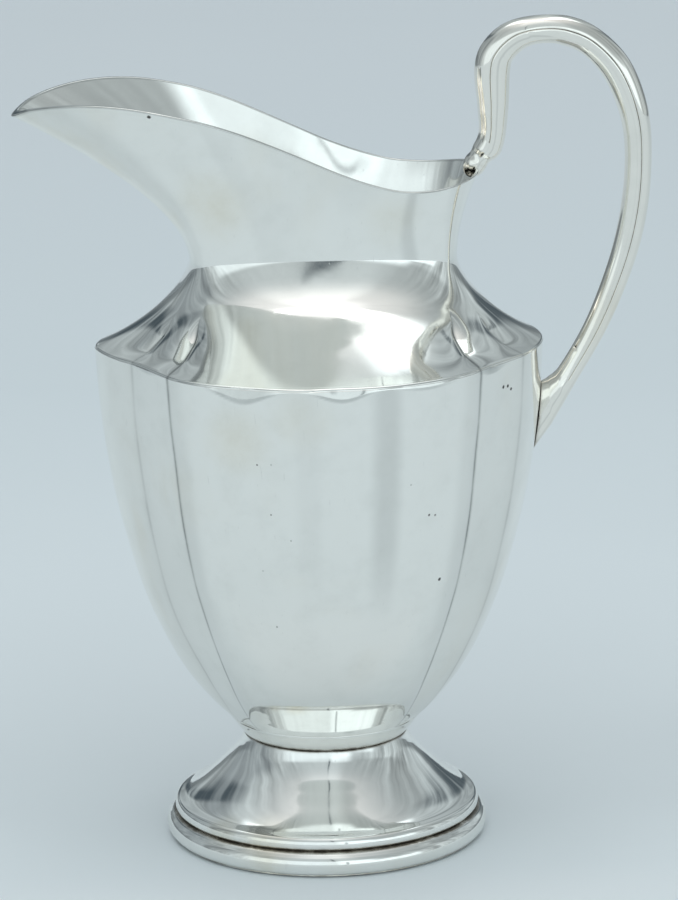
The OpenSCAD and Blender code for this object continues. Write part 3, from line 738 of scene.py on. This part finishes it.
# soft shadows on the paper before the jug
turn = mul(nt, calc(nt, "ARCTAN2", sep.outputs[0], mul(nt, sep.outputs[1], -1.0)), 57.29578)
reach = calc(nt, "SQRT", calc(nt, "ADD", mul(nt, sep.outputs[0], sep.outputs[0]), mul(nt, sep.outputs[1], sep.outputs[1])))
dim = mul(nt, fade(nt, calc(nt, "ABSOLUTE", calc(nt, "SUBTRACT", turn, 31.0)), 11.0, 2.0), 0.20)
dim = calc(nt, "ADD", dim, mul(nt, fade(nt, calc(nt, "ABSOLUTE", calc(nt, "ADD", turn, 8.0)), 9.0, 2.0), 0.05))
dim = calc(nt, "ADD", dim, mul(nt, fade(nt, calc(nt, "ABSOLUTE", turn), 82.0, 100.0), fade(nt, calc(nt, "ABSOLUTE", turn), 140.0, 118.0), 0.08))
paper = blend(nt, mul(nt, dim, fade(nt, reach, 0.10, 0.20)), paper, (0.10, 0.12, 0.125, 1))
# painted shadow on the paper round the jug and behind it
paper = blend(nt, mul(nt, fade(nt, reach, 0.34, 0.06), fade(nt, sep.outputs[1], -0.05, 0.03), 0.11), paper, (0.06, 0.09, 0.10, 1))
# painted light: the paper just in front of the foot is painted lighter
paper = blend(nt, mul(nt, fade(nt, sep.outputs[1], -0.035, -0.075), fade(nt, reach, 0.16, 0.09), 0.85), paper, (0.86, 0.90, 0.92, 1))
# painted shade: the paper far behind the jug, from 1.8 m to 2.3 m, is painted darker
paper = blend(nt, fade(nt, sep.outputs[1], 1.80, 2.30, 0.0, 0.75), paper, (0.10, 0.12, 0.13, 1))
nt.links.new(paper, b.inputs["Base Color"])
b.inputs["Roughness"].default_value = 0.6
b.inputs["Specular IOR Level"].default_value = 0.2
me.materials.append(fm)

# ------------------------------------------------------------------ light: a white tent with a bright roof, a slit at the front and two gaps at the back
w = bpy.data.worlds.new("studio")
bpy.context.scene.world = w
w.use_nodes = True
nt = w.node_tree
bg = nt.nodes["Background"]
way = nt.nodes.new("ShaderNodeTexCoord").outputs["Generated"]
sep = nt.nodes.new("ShaderNodeSeparateXYZ")
nt.links.new(way, sep.inputs[0])
az = mul(nt, calc(nt, "ARCTAN2", sep.outputs[0], mul(nt, sep.outputs[1], -1.0)), 57.29578)
el = mul(nt, calc(nt, "ARCSINE", sep.outputs[2]), 57.29578)
cloth = ramp(nt, mul(nt, el, 1/90), [(0.0, (0.45, 0.51, 0.53)), (0.33, (0.46, 0.52, 0.54)), (0.55, (0.48, 0.54, 0.56)), (0.63, (0.53, 0.585, 0.605)), (0.71, (0.65, 0.70, 0.715)),
                                      (0.78, (0.80, 0.84, 0.85)), (0.86, (0.93, 0.96, 0.965)), (0.93, (1.05, 1.07, 1.08)), (1.0, (1.18, 1.20, 1.21))])
comb = nt.nodes.new("ShaderNodeCombineXYZ")
link(nt, comb.inputs[0], mul(nt, az, 0.13))
link(nt, comb.inputs[1], mul(nt, el, 0.014))
folds = calc(nt, "SUBTRACT", noise(nt, comb.outputs[0], 1.0, 3.0, 0.6), 0.5)
side = fade(nt, calc(nt, "ABSOLUTE", az), 25.0, 100.0, 0.35, 3.0)
low = fade(nt, el, 70.0, 25.0)
shade = calc(nt, "ADD", 1.0, mul(nt, folds, side, low))
front = mul(nt, fade(nt, az, -4.0, 4.0), fade(nt, az, 52.0, 20.0), fade(nt, el, 10.0, 46.0))
left = mul(nt, fade(nt, az, -112.0, -88.0), fade(nt, az, -18.0, -55.0), fade(nt, el, 14.0, 40.0))
shade = calc(nt, "ADD", shade, calc(nt, "ADD", mul(nt, front, 0.08), mul(nt, left, -0.18)))
lean = calc(nt, "ADD", az, calc(nt, "SUBTRACT", mul(nt, el, 0.09), 5.5))
lean = calc(nt, "DIVIDE", calc(nt, "ABSOLUTE", lean), fade(nt, el, 22.0, 38.0, 2.6, 1.5))
slit = mul(nt, fade(nt, lean, 1.0, 0.4), fade(nt, el, 66.0, 40.0), fade(nt, el, 27.0, 33.0))
post = mul(nt, fade(nt, calc(nt, "ABSOLUTE", calc(nt, "SUBTRACT", az, 12.0)), 1.5, 0.5), fade(nt, el, 22.0, 16.0), fade(nt, el, -2.0, 2.0))
slit = calc(nt, "MAXIMUM", slit, mul(nt, post, 0.7))
# slanting seams of the tent at the back
seam_l = calc(nt, "ABSOLUTE", calc(nt, "ADD", az, calc(nt, "SUBTRACT", 176.6, mul(nt, el, 1.4))))
seam_r = calc(nt, "ABSOLUTE", calc(nt, "SUBTRACT", az, calc(nt, "SUBTRACT", 163.2, mul(nt, el, 0.95))))
wide = fade(nt, el, 4.0, 48.0, 9.0, 5.5)
gap = calc(nt, "MAXIMUM", fade(nt, calc(nt, "DIVIDE", seam_l, wide), 1.0, 0.25), mul(nt, fade(nt, calc(nt, "DIVIDE", seam_r, wide), 1.0, 0.25), 0.95))
gap = mul(nt, gap, fade(nt, el, 50.0, 32.0, 0.06, 1.0))
dark = calc(nt, "MAXIMUM", mul(nt, slit, 0.92), mul(nt, gap, fade(nt, folds, 0.16, -0.08, 0.35, 0.98)))
# a low white card at the front, and a duller wall at the right
near = calc(nt, "MAXIMUM", mul(nt, fade(nt, el, 20.0, 13.0), fade(nt, az, 72.0, 60.0)), mul(nt, fade(nt, el, 36.0, 27.0), fade(nt, az, 40.0, 26.0)))
card = calc(nt, "ADD", mul(nt, near, fade(nt, el, -4.0, 0.0), fade(nt, az, 2.0, 9.0), 1.1), mul(nt, fade(nt, el, -4.0, 0.0), fade(nt, el, 34.0, 26.0), fade(nt, az, 9.0, 2.0), fade(nt, az, -74.0, -48.0), 0.72))
wall = mul(nt, fade(nt, az, 10.0, 32.0), fade(nt, az, 128.0, 114.0), fade(nt, el, 22.0, 30.0), fade(nt, el, 88.0, 80.0), 0.25)
turned = calc(nt, "ABSOLUTE", az)
box = mul(nt, fade(nt, turned, 116.0, 128.0), fade(nt, turned, 171.0, 160.0), fade(nt, el, 52.0, 57.0), fade(nt, el, 90.0, 84.0))
shade = mul(nt, calc(nt, "ADD", calc(nt, "ADD", shade, card), box), calc(nt, "SUBTRACT", 1.0, wall))
light = blend(nt, 1.0, cloth, shade, "MULTIPLY")
light = blend(nt, mul(nt, fade(nt, calc(nt, "ABSOLUTE", az), 95.0, 150.0), fade(nt, el, 56.0, 44.0), 0.35), light, (0.16, 0.19, 0.21, 1))
light = blend(nt, mul(nt, fade(nt, calc(nt, "ABSOLUTE", az), 100.0, 140.0), fade(nt, el, 11.0, 4.0), 0.72), light, (0.10, 0.12, 0.13, 1))
light = blend(nt, mul(nt, fade(nt, az, -74.0, -94.0), fade(nt, az, -152.0, -138.0), fade(nt, el, 50.0, 36.0), 0.55), light, (0.12, 0.145, 0.165, 1))
light = blend(nt, dark, light, (0.055, 0.075, 0.09, 1))
seen = nt.nodes.new("ShaderNodeLightPath").outputs["Is Camera Ray"]
light = blend(nt, seen, light, (0.48, 0.565, 0.61, 1))
nt.links.new(light, bg.inputs["Color"])
bg.inputs["Strength"].default_value = 1.12
# a wide soft lamp overhead that only lights the paper
lamp_data = bpy.data.lights.new("overhead", "SUN")
lamp_data.energy = 0.49
lamp_data.angle = math.radians(130.0)
lamp = bpy.data.objects.new("overhead", lamp_data)
lamp.location = (0, 0, 2.0)
lamp.visible_glossy = False
bpy.context.scene.collection.objects.link(lamp)

# ------------------------------------------------------------------ camera
cam_data = bpy.data.cameras.new("camera")
cam = bpy.data.objects.new("camera", cam_data)
bpy.context.scene.collection.objects.link(cam)
bpy.context.scene.camera = cam
cam_data.sensor_fit = "VERTICAL"
cam_data.sensor_height = 36.0
cam_data.sensor_width = 36.0
cam_data.lens = 36.0 * 4767.7 / 900.0
cam_data.clip_start, cam_data.clip_end = 0.05, 60.0
yaw, pitch, roll = math.radians(2.0), math.radians(14.430), math.radians(-0.909)
fwd = Vector((0, math.cos(pitch), -math.sin(pitch)))
up = Vector((0, math.sin(pitch), math.cos(pitch)))
right = Vector((1, 0, 0))
r2 = math.cos(roll)*right + math.sin(roll)*up
u2 = -math.sin(roll)*right + math.cos(roll)*up
turn = Matrix.Rotation(-yaw, 3, "Z")
r2, u2, bk = turn @ r2, turn @ u2, turn @ (-fwd)
pos = turn @ (Vector((17.2, -4400.0, 1508.3)) * 0.32 * MM)
cam.matrix_world = Matrix(((r2.x, u2.x, bk.x, pos.x), (r2.y, u2.y, bk.y, pos.y), (r2.z, u2.z, bk.z, pos.z), (0, 0, 0, 1)))

bpy.context.scene.view_settings.view_transform = "Standard"

bpy.context.view_layer.update()
